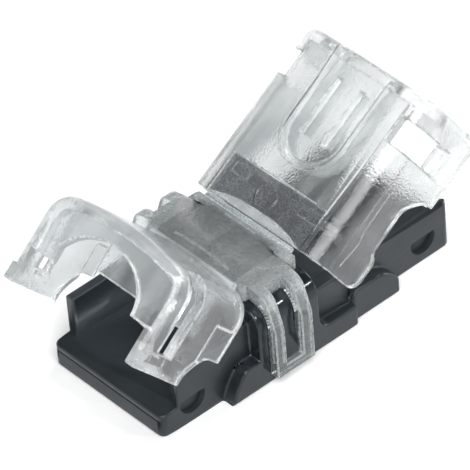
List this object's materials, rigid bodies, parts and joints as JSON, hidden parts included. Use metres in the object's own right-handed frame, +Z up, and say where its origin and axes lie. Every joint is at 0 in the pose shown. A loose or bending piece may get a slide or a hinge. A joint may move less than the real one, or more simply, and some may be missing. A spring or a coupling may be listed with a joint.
{
  "type": "led strip connector",
  "caption": "Clip-on connector for flat light strips: black channel base under a clear saddle, with clear hinged lids that close over both ends, shown half open",
  "frame": {"origin": "centre of the base's underside", "axes": "x along the strip with the short lid on the minus side, y across, z up out of the open side of the base"},
  "size_m": [0.0365, 0.0172, 0.0171],
  "materials": {
    "black_plastic": "moulded black plastic, satin with a soft sheen",
    "contact_metal": "stamped sheet, bright",
    "clear_plastic": "moulded clear plastic, slightly milky, bright at the edges"
  },
  "bodies": {
    "base": {"base": "black_plastic", "near_contact": "contact_metal", "far_contact": "contact_metal", "saddle_clamp": "clear_plastic"},
    "left_lid": {"left_lid": "clear_plastic"},
    "right_lid": {"right_lid": "clear_plastic"}
  },
  "joints": [
    {"name": "left_lid_hinge", "type": "hinge", "parent": "base", "child": "left_lid", "pos_m": [-0.0061, 0, 0.0086], "axis": [0, 1, 0], "range_deg": [-49, 41]},
    {"name": "right_lid_hinge", "type": "hinge", "parent": "base", "child": "right_lid", "pos_m": [-0.0001, 0, 0.0086], "axis": [0, -1, 0], "range_deg": [-33, 57]}
  ]
}
